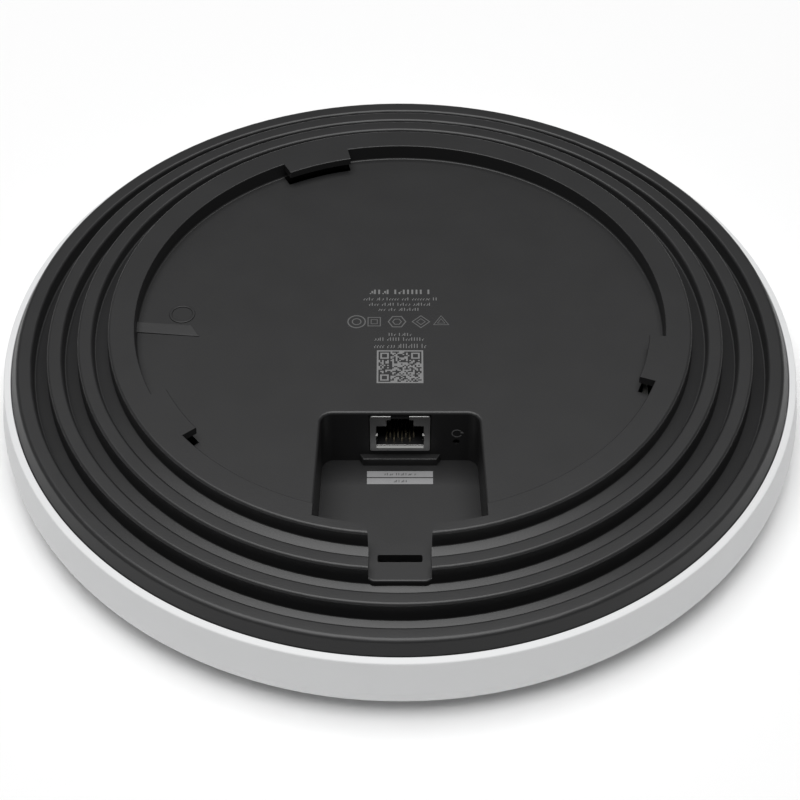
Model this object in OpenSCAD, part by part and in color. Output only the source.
// Ceiling access point, lying on its white front cover with the cast back facing up.
// +Z points out of the cast back, towards the ceiling. The network jack faces -Y.
// The origin is the centre of the flat front face. Millimetres.

/* [Overall] */
// Height from the front face to the mounting plateau
total_h = 33; // [32:0.5:36]
// Widest radius of the white front cover
cover_r = 107.4; // [107:0.1:109]
// Height of the seam between the casting and the cover's rim
seam_z = 19.8; // [19.4:0.1:20.2]

/* [Front cover] */
// Wall thickness of the moulded cover
cover_wall = 2.5; // [2:0.1:2.8]
// Radius of the rounded edge between the front face and the side wall
cover_round = 8.6; // [7:0.1:9]
// Number of snap hooks that hold the cover on the casting
hook_count = 6; // [4:1:8]

/* [Ringed casting] */
// Radius of the casting's outer edge at the seam
plate_r = 104; // [103.8:0.1:104]
// Radius of the outermost flat ring's outer edge
ring_r = 102.3; // [101.8:0.1:102.6]
// Radial distance from one ring edge to the next
ring_pitch = 8.33; // [8.2:0.01:8.4]
// Height that each ring gains on the one outside it
ring_step = 3.17; // [3:0.01:3.25]
// Width of the flat on top of each ring
flat_w = 4.1; // [3.6:0.1:4.4]
// Radius of the recess that takes the mounting bracket
recess_r = 70.3; // [69:0.1:71]
// Depth of the recess below the plateau
recess_depth = 4.5; // [4:0.1:5]
// Radius of the small fillets on the rings' edges
edge_fillet = 0.8; // [0.4:0.1:0.9]

/* [Cable pocket] */
// Distance from the centre to the wall that holds the jack
pocket_back = 32; // [31:0.1:33]
// Half width of the pocket at the jack wall
pocket_back_w = 20.3; // [19:0.1:21]
// Half width of the pocket at its outer end
pocket_end_w = 21.9; // [21:0.1:23]
// Radius of the pocket's outer end wall
pocket_end_r = 74.2; // [73:0.1:75]
// Height of the pocket's floor above the front face
pocket_floor_z = 10.7; // [10:0.1:11.5]

/* [Bayonet tabs] */
// Start angle, sweep, window start and window sweep of each tab, in degrees
tab_angles = [[102.3, 15.6, 102.3, 15.9], [-20.6, 13.9, -21.5, 14.6], [204.9, 13.9, 204.9, 14.9]];
// Radius of the tabs' inner edge
tab_r = 66.1; // [65:0.1:67]
// Thickness of each tab
tab_t = 2.2; // [1.8:0.1:2.6]

/* [Network jack] */
// Width of the jack's metal shell
jack_w = 15.7; // [15.4:0.1:16]
// Height of the jack's metal shell
jack_h = 12.8; // [12.6:0.1:12.8]
// Length of the jack's metal shell
jack_len = 21; // [20:0.5:22]
// Width of the plug opening
plug_w = 12.3; // [11.8:0.1:12.4]

/* [Reset switch] */
// Sideways place of the reset pinhole
reset_x = 14.65; // [14.4:0.05:15]
// Height of the reset pinhole above the front face
reset_z = 17.75; // [17.5:0.05:18]
// Radius of the pinhole
pinhole_r = 0.9; // [0.8:0.05:1]
// Travel of the reset plunger
reset_travel = 0.25; // [0.2:0.05:0.3]

/* [Board] */
// Radius of the round circuit board
board_r = 86; // [84:0.5:87]
// Thickness of the circuit board
board_t = 1.6; // [1.5:0.1:1.6]

/* [Hidden] */
$fn = 96;
eps = 0.01;

// Heights of the stack, from the front face up
plateau_z = total_h;
recess_z = plateau_z - recess_depth;
wall = 2.2;
under_z = recess_z - wall;
flange_z = seam_z - 2.5;
shelf_z = flange_z - 1;
board_z = 13;
board_top = board_z + board_t;

// Radii of the rings' outer edges and the heights of their flats
ring_count = 4;
ring_edge = [for (k = [0:ring_count - 1]) ring_r - k * ring_pitch];
ring_z = [for (k = [0:ring_count - 1]) plateau_z - (ring_count - 1 - k) * ring_step];
groove_depth = [5.65, 5.5, 4.6];
groove_fall = 1.5;
wall_draft = 0.2;
under_in_r = 77;
under_out_r = ring_r - flat_w;

// Radius of the pocket's two upright corners beside the jack wall
pocket_corner = 3;

// Channel from the pocket through the plateau and the innermost ring
channel_z = 26;
channel_end_r = ring_edge[2] + 0.35;
slot_w = 11;
slot_l = 2.3;
slot_y = -78.9;

// Board fixings: angle and radius of each boss
board_boss_r = 79;
board_boss_angles = [28, 62, 118, 152, 208, 332];
reflector_boss_r = 60;
reflector_boss_angles = [45, 135, 222, 318];
boss_outer = 3.2;
boss_top_z = under_z + 0.3;
pilot_r = 1.3;

// Shielded areas of the board: centre x, y, width, depth
can_main = [0, 27, 46, 34];
can_left = [-50, -4, 32, 30];
can_right = [50, -4, 32, 30];
can_h = 2.8;
can_wall = 0.3;
pad_t = 2;

// Antenna plate, between the board and the front cover
reflector_z = 9.6;
reflector_t = 1;
antenna_z = 4.8;
sheet_t = 0.4;
light_pipe_r = 2;

jack_z = board_top;
jack_front = -pocket_back - 0.3;
jack_sheet = 0.35;

// Points of an arc about [cx, cy], from angle a0 to a1
function arc(cx, cy, r, a0, a1, n = 6) =
    [for (i = [0:n]) let (a = a0 + (a1 - a0) * i / n) [cx + r * cos(a), cy + r * sin(a)]];

// Points of a corner at b, between a and c, rounded to radius r
function unit(v) = v / norm(v);
function fillet(a, b, c, r, n = 4) =
    let (u = unit(a - b), v = unit(c - b),
        half = acos(u * v) / 2,
        centre = b + unit(u + v) * r / sin(half),
        p = b + u * r / tan(half) - centre,
        q = b + v * r / tan(half) - centre)
    [for (i = [0:n]) let (m = p * (1 - i / n) + q * (i / n)) centre + unit(m) * r];

// An outline from [x, y, corner radius] points, with each corner rounded
function rounded(points) =
    let (n = len(points))
    [for (i = [0:n - 1])
        let (a = points[(i + n - 1) % n], b = points[i], c = points[(i + 1) % n])
        each (b[2] == 0 ? [[b[0], b[1]]]
            : fillet([a[0], a[1]], [b[0], b[1]], [c[0], c[1]], b[2]))];

module ring_of(angles, r) {
    for (a = angles)
        rotate(a) translate([r, 0, 0]) children();
}

module block(centre, size, z) {
    translate([centre[0] - size[0] / 2, centre[1] - size[1] / 2, z]) cube(size);
}

// ---------- front cover ----------

module cover_profile() {
    face_flat_r = 60;
    face_rise = 0.8;
    edge_centre_r = cover_r - cover_round;
    edge_centre_z = cover_round + face_rise;
    rim_r = 106.1;
    rim_z = seam_z - 0.65;
    bore_r = plate_r + 0.2;
    inner_round = cover_round - cover_wall;
    shelf_r = 101.4;
    inner_r = cover_r - cover_wall;
    polygon(concat(
        [[0, 0], [face_flat_r, 0], [(face_flat_r + edge_centre_r) / 2, face_rise * 0.3]],
        arc(edge_centre_r, edge_centre_z, cover_round, -88, 0, 10),
        rounded([[rim_r, rim_z, 0.5], [bore_r, seam_z, 0.3], [bore_r, shelf_z, 0]]),
        [[shelf_r, shelf_z], [shelf_r, shelf_z - 1.5], [inner_r - 0.4, shelf_z - 2.4]],
        arc(edge_centre_r, edge_centre_z, inner_round, 0, -88, 8),
        [[face_flat_r, cover_wall], [0, cover_wall]]));
}

module cover_hook() {
    hook_w = 9;
    arm_r = 97.4;
    arm_t = 1.3;
    barb_z = 12.9;
    barb = 2.6;
    barb_t = 1.5;
    translate([arm_r, -hook_w / 2, cover_wall - 0.3])
        cube([arm_t, hook_w, barb_z + barb_t - cover_wall + 0.3]);
    translate([arm_r - barb, -hook_w / 2, barb_z]) cube([barb + eps, hook_w, barb_t]);
}

function hook_angles() = [for (i = [0:hook_count - 1]) 15 + i * 360 / hook_count];

module front_cover() {
    color("white")
        difference() {
            union() {
                rotate_extrude() cover_profile();
                ring_of(hook_angles(), 0) cover_hook();
            }
            translate([0, 0, -1]) cylinder(h = cover_wall + 2, r = light_pipe_r + 0.05);
        }
}

module cover_gasket() {
    color("dimgray")
        translate([0, 0, shelf_z])
            difference() {
                cylinder(h = flange_z - shelf_z, r = 103.4);
                translate([0, 0, -1]) cylinder(h = flange_z - shelf_z + 2, r = 101.9);
            }
}

// ---------- ringed casting ----------

// One groove and the flat outside it, from the inner ring's wall outwards
function groove(k) =
    let (inner = ring_edge[k + 1], outer = ring_edge[k] - flat_w,
        floor_z = ring_z[k + 1] - groove_depth[k])
    [[inner, ring_z[k + 1], edge_fillet],
        [inner + wall_draft, floor_z, 0.4],
        [outer - wall_draft, floor_z - groove_fall, 0.4],
        [outer, ring_z[k], 0.8]];

module housing_profile() {
    polygon(rounded(concat(
        [[0, under_z, 0], [0, recess_z, 0]],
        [[recess_r - wall_draft, recess_z, 0.5], [recess_r, plateau_z, 0.25]],
        groove(2), groove(1), groove(0),
        [[ring_edge[0], ring_z[0], 1.4], [plate_r, seam_z, 0.3]],
        [[plate_r, flange_z, 0], [under_out_r, flange_z, 0], [under_in_r, under_z, 0]])));
}

module pocket_plan(grow) {
    corner = pocket_corner + grow;
    back = -pocket_back + grow;
    polygon(rounded([[-pocket_back_w - grow, back, corner], [pocket_back_w + grow, back, corner],
        [pocket_end_w + grow + 0.3, -90, 0], [-pocket_end_w - grow - 0.3, -90, 0]]));
}

module pocket_space(grow, z0, z1) {
    intersection() {
        translate([0, 0, z0]) linear_extrude(z1 - z0) pocket_plan(grow);
        translate([0, 0, z0]) cylinder(h = z1 - z0, r = pocket_end_r + grow);
    }
}

module channel_space() {
    half_top = 8.1;
    half_waist = 7.7;
    translate([0, 0, channel_z])
        linear_extrude(plateau_z)
            polygon(rounded([[-half_top - 0.6, -73.5, 0], [half_top + 0.6, -73.5, 0],
                [half_top, -75.5, 1], [half_waist, -77.5, 2], [half_waist, -channel_end_r, 0],
                [-half_waist, -channel_end_r, 0], [-half_waist, -77.5, 2], [-half_top, -75.5, 1]]));
}

// The channel's floor, which ends in a round-cornered foot just proud of the second ring
module channel_floor() {
    half = 8.3;
    foot_y = -channel_end_r - 0.1;
    translate([0, 0, channel_z - wall])
        linear_extrude(wall)
            polygon(rounded([[-half, -73, 0], [-half, foot_y, 2.2], [half, foot_y, 2.2], [half, -73, 0]]));
}

module lock_slot() {
    x = slot_w / 2;
    y = slot_l / 2;
    translate([0, slot_y, channel_z - 5])
        linear_extrude(10)
            polygon(rounded([[-x, -y, 0.5], [x, -y, 0.5], [x, y, 0.5], [-x, y, 0.5]]));
}

module bayonet_tab(t) {
    rotate(t[0])
        rotate_extrude(angle = t[1])
            polygon(rounded([[tab_r, plateau_z - tab_t, 0.3], [tab_r, plateau_z, 0.25],
                [recess_r + 1, plateau_z, 0], [recess_r + 1, plateau_z - tab_t, 0]]));
}

module tab_window(t) {
    rotate(t[2])
        rotate_extrude(angle = t[3])
            translate([tab_r + 0.2, under_z - 1])
                square([recess_r - tab_r - 0.6, plateau_z - tab_t - under_z + 1]);
}

module alignment_marks() {
    mark = [-58.4, 4.9];
    mark_h = 0.3;
    translate([mark[0], mark[1], recess_z - eps])
        difference() {
            cylinder(h = mark_h + eps, r = 3.5);
            translate([0, 0, -1]) cylinder(h = mark_h + 2, r = 2.7);
        }
    // A raised ramp that the bracket's spring rides over, leaning a little towards -Y
    intersection() {
        translate([0, 0, recess_z - eps])
            linear_extrude(2)
                polygon([[-70.2, 1.5], [-55.6, 0.3], [-53.3, -3.8], [-70.2, -2.2]]);
        translate([-72, -6, recess_z - 2.95]) rotate([4, 0, 0]) cube([20, 9, 3]);
    }
}

module boss(z0, top) {
    translate([0, 0, z0])
        difference() {
            cylinder(h = top - z0, r = boss_outer);
            translate([0, 0, -eps]) cylinder(h = 7, r = pilot_r);
        }
}

module thermal_boss(can) {
    foot = board_top + can_h + pad_t;
    block([can[0], can[1]], [can[2] - 4, can[3] - 4, under_z - foot + 0.5], foot);
}

module housing_catch() {
    translate([93.3, -5, 11]) cube([2.9, 10, 1.7]);
    translate([93.3, -5, 11]) cube([1.2, 10, 9.3]);
}

module jack_opening() {
    gap = 0.2;
    translate([-jack_w / 2 - gap, -pocket_back - 1, jack_z - 0.1])
        cube([jack_w + 2 * gap, jack_len + 1.6, jack_h + gap + 0.1]);
}

// The ledge under the jack, which a cable's boot rests on
module port_ledge() {
    ledge_top = 13.05;
    ledge_depth = 1.9;
    translate([0, 0, pocket_floor_z - eps])
        linear_extrude(ledge_top - pocket_floor_z + eps)
            polygon([[-10.6, -pocket_back + eps], [-9.6, -pocket_back - ledge_depth],
                [9.6, -pocket_back - ledge_depth], [10.6, -pocket_back + eps]]);
}

module housing_body() {
    rotate_extrude() housing_profile();
    pocket_space(2, pocket_floor_z - 1.8, recess_z - 0.5);
    channel_floor();
    for (t = tab_angles)
        bayonet_tab(t);
    alignment_marks();
    ring_of(board_boss_angles, board_boss_r) boss(board_top, boss_top_z);
    ring_of(reflector_boss_angles, reflector_boss_r) boss(reflector_z + reflector_t, under_z + 0.5);
    for (can = [can_main, can_left, can_right])
        thermal_boss(can);
    ring_of(hook_angles(), 0) housing_catch();
}

module rear_housing() {
    color("#3a3a3b")
        union() {
            difference() {
                housing_body();
                pocket_space(0, pocket_floor_z, plateau_z + 1);
                channel_space();
                for (t = tab_angles)
                    tab_window(t);
                jack_opening();
                translate([reset_x, -pocket_back - 1, reset_z]) rotate([-90, 0, 0])
                    cylinder(h = 6, r = pinhole_r);
                lock_slot();
            }
            port_ledge();
        }
}

// ---------- board and what it carries ----------

module screw(head_z, length) {
    head_r = 2.7;
    head_h = 1.7;
    shank_r = 1.2;
    difference() {
        union() {
            translate([0, 0, head_z - head_h]) cylinder(h = head_h, r = head_r);
            translate([0, 0, head_z - eps]) cylinder(h = length + eps, r = shank_r);
        }
        for (a = [0, 90])
            rotate(a) translate([-1.5, -0.3, head_z - head_h - 1]) cube([3, 0.6, 1.9]);
    }
}

module main_board() {
    notch_w = pocket_end_w + 3.4;
    color("darkgreen")
        translate([0, 0, board_z])
            difference() {
                cylinder(h = board_t, r = board_r);
                translate([-notch_w, -board_r - 1, -1])
                    cube([2 * notch_w, board_r + 1 - pocket_back + 2.4, board_t + 2]);
                translate([0, 0, -1]) {
                    ring_of(board_boss_angles, board_boss_r) cylinder(h = board_t + 2, r = 1.6);
                    ring_of(reflector_boss_angles, reflector_boss_r)
                        cylinder(h = board_t + 2, r = boss_outer + 0.4);
                }
            }
}

module board_screws() {
    color("silver")
        ring_of(board_boss_angles, board_boss_r) screw(board_z, 7);
}

module chip(centre, size) {
    color("#202020") block(centre, size, board_top);
}

module processor() { chip([-8, 27], [17, 17, 1.2]); }

module memory_chips() {
    for (y = [20.5, 33.5])
        chip([11, y], [9, 11, 1]);
}

module radio_chip_left() { chip([can_left[0], can_left[1]], [12, 12, 1]); }
module radio_chip_right() { chip([can_right[0], can_right[1]], [12, 12, 1]); }

module shield_can(can) {
    color("silver")
        difference() {
            block([can[0], can[1]], [can[2], can[3], can_h], board_top);
            block([can[0], can[1]],
                [can[2] - 2 * can_wall, can[3] - 2 * can_wall, can_h - can_wall + 1], board_top - 1);
        }
}

module shield_can_main() { shield_can(can_main); }
module shield_can_left() { shield_can(can_left); }
module shield_can_right() { shield_can(can_right); }

module thermal_pad(can) {
    color("slateblue")
        block([can[0], can[1]], [can[2] - 6, can[3] - 6, pad_t], board_top + can_h);
}

module thermal_pad_main() { thermal_pad(can_main); }
module thermal_pad_left() { thermal_pad(can_left); }
module thermal_pad_right() { thermal_pad(can_right); }

// The plug's way in, looking into the jack, with the latch's two-step keyway on top
module plug_outline(grow) {
    sill = 2.2;
    body_top = 9.25;
    step_top = 11.5;
    step_half = 3.5;
    latch_half = 2.4;
    half = plug_w / 2;
    polygon([[-half - grow, sill - grow], [half + grow, sill - grow], [half + grow, body_top],
        [step_half, body_top], [step_half, step_top], [latch_half, step_top],
        [latch_half, jack_h + 1], [-latch_half, jack_h + 1], [-latch_half, step_top],
        [-step_half, step_top], [-step_half, body_top], [-half - grow, body_top]]);
}

module plug_space(depth, grow) {
    translate([0, jack_front - 1 + depth + 1, jack_z])
        rotate([90, 0, 0]) linear_extrude(depth + 1) plug_outline(grow);
}

module jack_shell() {
    color("silver")
        difference() {
            block([0, jack_front + jack_len / 2], [jack_w, jack_len, jack_h], jack_z);
            block([0, jack_front + jack_len / 2],
                [jack_w - 2 * jack_sheet, jack_len - 2 * jack_sheet, jack_h - 2 * jack_sheet],
                jack_z + jack_sheet);
            plug_space(2, 0);
        }
}

plug_depth = 15;

module jack_insert() {
    color("#1a1a1a")
        difference() {
            block([0, jack_front + jack_len / 2],
                [jack_w - 2 * jack_sheet, jack_len - 2 * jack_sheet, jack_h - 2 * jack_sheet],
                jack_z + jack_sheet);
            intersection() {
                plug_space(plug_depth, 0);
                block([0, jack_front + jack_len / 2], [jack_w, jack_len + 4, jack_h - 1.1], jack_z);
            }
        }
}

// Eight contact wires, with every other one a little further back and higher
module jack_contacts() {
    pitch = 1.02;
    wire = 0.35;
    floor_z = jack_z + 2.2;
    first = 1.4;
    lift = 0.9;
    color("gold")
        for (i = [0:7])
            translate([(i - 3.5) * pitch - wire / 2, jack_front + first * (1 + i % 2), floor_z]) {
                rise = lift + 0.4 * (i % 2);
                cube([wire, plug_depth - first * (1 + i % 2), 0.4]);
                cube([wire, 0.4, rise]);
                translate([0, 0, rise - eps]) cube([wire, 5, 0.4]);
            }
}

module network_transformer() {
    color("#1a1a1a") block([0, -1], [16, 13, 6], board_top);
}

module power_transformer() {
    color("goldenrod") {
        block([-24.5, -15], [15, 13, 3], board_top);
        block([-24.5, -15], [10, 13, 8.5], board_top);
    }
}

module power_capacitors() {
    color("slategray")
        for (y = [-9, 1])
            translate([24, y, board_top]) cylinder(h = 9.5, r = 4);
}

module power_inductors() {
    color("dimgray")
        for (x = [-40, 38, 47])
            block([x, -31], [6.6, 6.6, 3], board_top);
}

// ---------- reset switch ----------

reset_front = -pocket_back + 2.6;
reset_pin = 0.8;
reset_bore = reset_pin + 0.05;
reset_chamber = 1.55;
reset_plate = 0.5;
reset_shell = 2;

module along_y(y, length, r) {
    translate([reset_x, y, reset_z]) rotate([-90, 0, 0]) cylinder(h = length, r = r);
}

module reset_block(y, length) {
    translate([reset_x - 2.4, y, board_top]) cube([4.8, length, 5.2]);
}

module reset_switch_cover() {
    color("silver")
        difference() {
            reset_block(reset_front, reset_shell);
            along_y(reset_front - 1, reset_shell + 2, reset_bore);
            along_y(reset_front + reset_plate, reset_shell, reset_chamber);
        }
}

module reset_switch_base() {
    color("#1a1a1a") reset_block(reset_front + reset_shell, 1.5);
}

module reset_switch_dome() {
    color("gold") along_y(reset_front + reset_shell - 0.1, 0.1, 1.4);
}

module reset_plunger() {
    collar_y = reset_front + reset_plate + 0.05;
    color("ivory") {
        along_y(reset_front - 0.5, 1.1, reset_pin);
        along_y(collar_y, 0.4, 1.4);
        along_y(collar_y, reset_shell - reset_plate - reset_travel - 0.25, reset_pin);
    }
}

// ---------- antennas ----------

module antenna_reflector() {
    notch_w = pocket_end_w + 3.4;
    color("lightgray")
        translate([0, 0, reflector_z])
            difference() {
                cylinder(h = reflector_t, r = board_r + 2);
                translate([-notch_w, -board_r - 3, -1])
                    cube([2 * notch_w, board_r + 3 - pocket_back + 2.9, reflector_t + 2]);
                translate([0, 0, -1]) {
                    cylinder(h = reflector_t + 2, r = light_pipe_r + 0.6);
                    ring_of(reflector_boss_angles, reflector_boss_r)
                        cylinder(h = reflector_t + 2, r = 1.6);
                    ring_of(board_boss_angles, board_boss_r)
                        cylinder(h = reflector_t + 2, r = 3.4);
                    for (a = antenna_places)
                        rotate(a[0]) translate([a[1] - 8, 0, 0]) cylinder(h = reflector_t + 2, r = 1.6);
                }
            }
}

module reflector_screws() {
    color("silver")
        ring_of(reflector_boss_angles, reflector_boss_r) screw(reflector_z, 5);
}

// Angle and radius of each antenna, and whether it is a large low-band one
antenna_places = [[180, 68, true], [0, 68, true], [90, 68, true],
    [160, 42, false], [20, 42, false], [90, 38, false]];

// A bent sheet antenna: a radiating plate on two legs, with a short tail to the feed
module antenna(place) {
    width = place[2] ? 26 : 13;
    depth = place[2] ? 11 : 8;
    leg = reflector_z - antenna_z;
    color("gold")
        rotate(place[0]) translate([place[1], 0, 0]) {
            difference() {
                block([0, 0], [depth, width, sheet_t], antenna_z);
                block([0.8, 2], [depth / 2, 1.6, 2], antenna_z - 1);
                block([-depth / 2 + 2, -width / 4], [1.4, width / 3, 2], antenna_z - 1);
            }
            for (y = [-width / 4, 1])
                translate([-depth / 2, y, antenna_z]) cube([sheet_t, 2.4, leg]);
        }
}

module antenna_low_left() { antenna(antenna_places[0]); }
module antenna_low_right() { antenna(antenna_places[1]); }
module antenna_low_rear() { antenna(antenna_places[2]); }
module antenna_high_left() { antenna(antenna_places[3]); }
module antenna_high_right() { antenna(antenna_places[4]); }
module antenna_high_rear() { antenna(antenna_places[5]); }

lead_r = 0.55;
lead_z = 11.8;
lead_bend = 2;
lead_run = 12;

// Coaxial sockets under the board, at the inner end of each lead
module antenna_sockets() {
    color("gold")
        for (a = antenna_places)
            rotate(a[0]) translate([a[1] - 8 - lead_run - 1.5, 0, lead_z - 0.8])
                cylinder(h = board_z - lead_z + 0.8, r = 1.5);
}

// Thin coaxial leads: straight under the board, then turned down through the reflector
module antenna_leads() {
    color("black")
        for (a = antenna_places)
            rotate(a[0]) translate([a[1] - 8, 0, lead_z]) {
                translate([-lead_run, 0, 0]) rotate([0, 90, 0])
                    cylinder(h = lead_run - lead_bend, r = lead_r, $fn = 24);
                translate([-lead_bend, 0, -lead_bend]) rotate([90, 0, 0])
                    rotate_extrude(angle = 90) translate([lead_bend, 0]) circle(r = lead_r, $fn = 24);
                translate([0, 0, -lead_bend - 2]) cylinder(h = 2, r = lead_r, $fn = 24);
            }
}

// ---------- status light and labels ----------

module status_led() {
    color("white") block([0, 0], [3.2, 2.8, 0.9], board_z - 0.9);
}

module status_light_pipe() {
    color("aliceblue") {
        cylinder(h = board_z - 1.3, r = light_pipe_r);
        translate([0, 0, cover_wall]) cylinder(h = 1, r = light_pipe_r + 1.4);
    }
}

module label_strips() {
    strip = [17.2, 2.1, 0.15];
    first_y = -37.1;
    gap = 0.35;
    color("lightgray")
        for (i = [0, 1])
            block([0, first_y - i * (strip[1] + gap)], strip, pocket_floor_z);
}

front_cover();
cover_gasket();
rear_housing();
main_board();
board_screws();
processor();
memory_chips();
radio_chip_left();
radio_chip_right();
shield_can_main();
shield_can_left();
shield_can_right();
thermal_pad_main();
thermal_pad_left();
thermal_pad_right();
jack_shell();
jack_insert();
jack_contacts();
network_transformer();
power_transformer();
power_capacitors();
power_inductors();
reset_switch_cover();
reset_switch_base();
reset_switch_dome();
reset_plunger();
antenna_reflector();
reflector_screws();
antenna_low_left();
antenna_low_right();
antenna_low_rear();
antenna_high_left();
antenna_high_right();
antenna_high_rear();
antenna_sockets();
antenna_leads();
status_led();
status_light_pipe();
label_strips();
